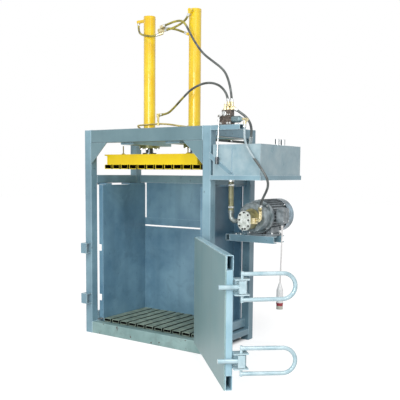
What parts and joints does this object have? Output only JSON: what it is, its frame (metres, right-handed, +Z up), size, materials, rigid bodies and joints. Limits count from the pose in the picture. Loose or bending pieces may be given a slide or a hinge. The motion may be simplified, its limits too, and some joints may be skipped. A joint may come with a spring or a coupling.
{
  "type": "vertical baler",
  "caption": "Upright press for baling waste: tube frame, slatted ram driven by twin cylinders, swing-out door with lever latches, oil tank, pump motor and hand valve.",
  "frame": {"origin": "middle of the front of the frame, on the floor", "axes": "+X to the right along the front, +Y back into the chamber, +Z up"},
  "size_m": [2.522, 1.7432, 2.904],
  "materials": {
    "frame_paint": "satin",
    "floor_paint": "satin",
    "yellow_paint": "gloss",
    "gland_paint": "satin",
    "bright_steel": "polished",
    "dark_steel": "brushed",
    "handle_paint": "gloss",
    "plated_brass": "satin",
    "cast_block": "rough",
    "motor_paint": "satin",
    "pump_metal": "satin",
    "hose_rubber": "matte",
    "suction_rubber": "matte",
    "lead_rubber": "matte",
    "knob_plastic": "matte",
    "plug_plastic": "gloss"
  },
  "bodies": {
    "frame": {"frame_posts": "frame_paint", "front_beam": "frame_paint", "top_beams": "frame_paint", "front_sill": "frame_paint", "base_rails": "frame_paint", "floor_bearers": "frame_paint", "side_rails": "frame_paint", "tie_bar": "dark_steel", "side_walls": "frame_paint", "back_wall": "frame_paint", "floor_slats": "floor_paint", "cylinder_beds": "frame_paint", "cylinder_barrels": "yellow_paint", "cylinder_glands": "gland_paint", "hinge_brackets": "frame_paint", "latch_keepers": "handle_paint", "oil_tank": "frame_paint", "tank_frame": "frame_paint", "tank_caps": "bright_steel", "hose_feed": "hose_rubber", "hose_left": "hose_rubber", "hose_right": "hose_rubber", "hose_cross": "hose_rubber", "hose_return": "hose_rubber", "hose_drain": "hose_rubber", "hose_pressure": "hose_rubber", "hose_suction": "suction_rubber", "motor_lead": "lead_rubber", "link_pipe": "gland_paint", "cylinder_ports": "yellow_paint", "hose_tee": "plated_brass", "valve_shelf": "frame_paint", "valve_body": "cast_block", "valve_fittings": "plated_brass", "pump_cover": "pump_metal", "pump_body": "pump_metal", "bell_housing": "pump_metal", "motor_shell": "motor_paint", "fan_cowl": "motor_paint", "motor_channels": "frame_paint", "terminal_box": "motor_paint", "suction_elbow": "bright_steel", "pressure_elbow": "plated_brass", "tank_ports": "plated_brass", "lead_plug": "plug_plastic"},
    "ram": {"ram_frame": "yellow_paint", "ram_slats": "yellow_paint", "ram_pins": "yellow_paint", "cylinder_rods": "bright_steel"},
    "door": {"door_panel": "frame_paint", "door_frame": "frame_paint", "door_fittings": "frame_paint"},
    "upper_latch": {"latch_upper": "handle_paint"},
    "lower_latch": {"latch_lower": "handle_paint"},
    "lever": {"valve_lever": "bright_steel", "lever_knob": "knob_plastic"},
    "spool": {"valve_spool": "bright_steel"},
    "rotor": {"motor_rotor": "dark_steel"}
  },
  "joints": [
    {"name": "ram_slide", "type": "slide", "parent": "frame", "child": "ram", "axis": [0, 0, 1], "range_m": [-0.9, 0]},
    {"name": "door_hinge", "type": "hinge", "parent": "frame", "child": "door", "pos_m": [0.665, -0.02, 0.555], "axis": [0, 0, 1], "range_deg": [-134.5, 20]},
    {"name": "upper_latch_turn", "type": "hinge", "parent": "door", "child": "upper_latch", "pos_m": [1.54961, -0.91305, 0.795], "axis": [0, 0, 1], "range_deg": [0, 90]},
    {"name": "lower_latch_turn", "type": "hinge", "parent": "door", "child": "lower_latch", "pos_m": [1.54961, -0.91305, 0.328], "axis": [0, 0, 1], "range_deg": [0, 95]},
    {"name": "lever_turn", "type": "hinge", "parent": "frame", "child": "lever", "pos_m": [0.788, -0.024, 1.935], "axis": [0, 1, 0], "range_deg": [-15, 15], "stiffness_Nm_per_rad": 6},
    {"name": "spool_slide", "type": "slide", "parent": "frame", "child": "spool", "axis": [1, 0, 0], "range_m": [-0.0095, 0.0095]},
    {"name": "rotor_spin", "type": "hinge", "parent": "frame", "child": "rotor", "pos_m": [0.975, 0.4, 1.142], "axis": [0, 1, 0], "continuous": true}
  ],
  "couplings": [
    {"joint": "spool_slide", "follows": "lever_turn", "m_per_rad": -0.035}
  ]
}
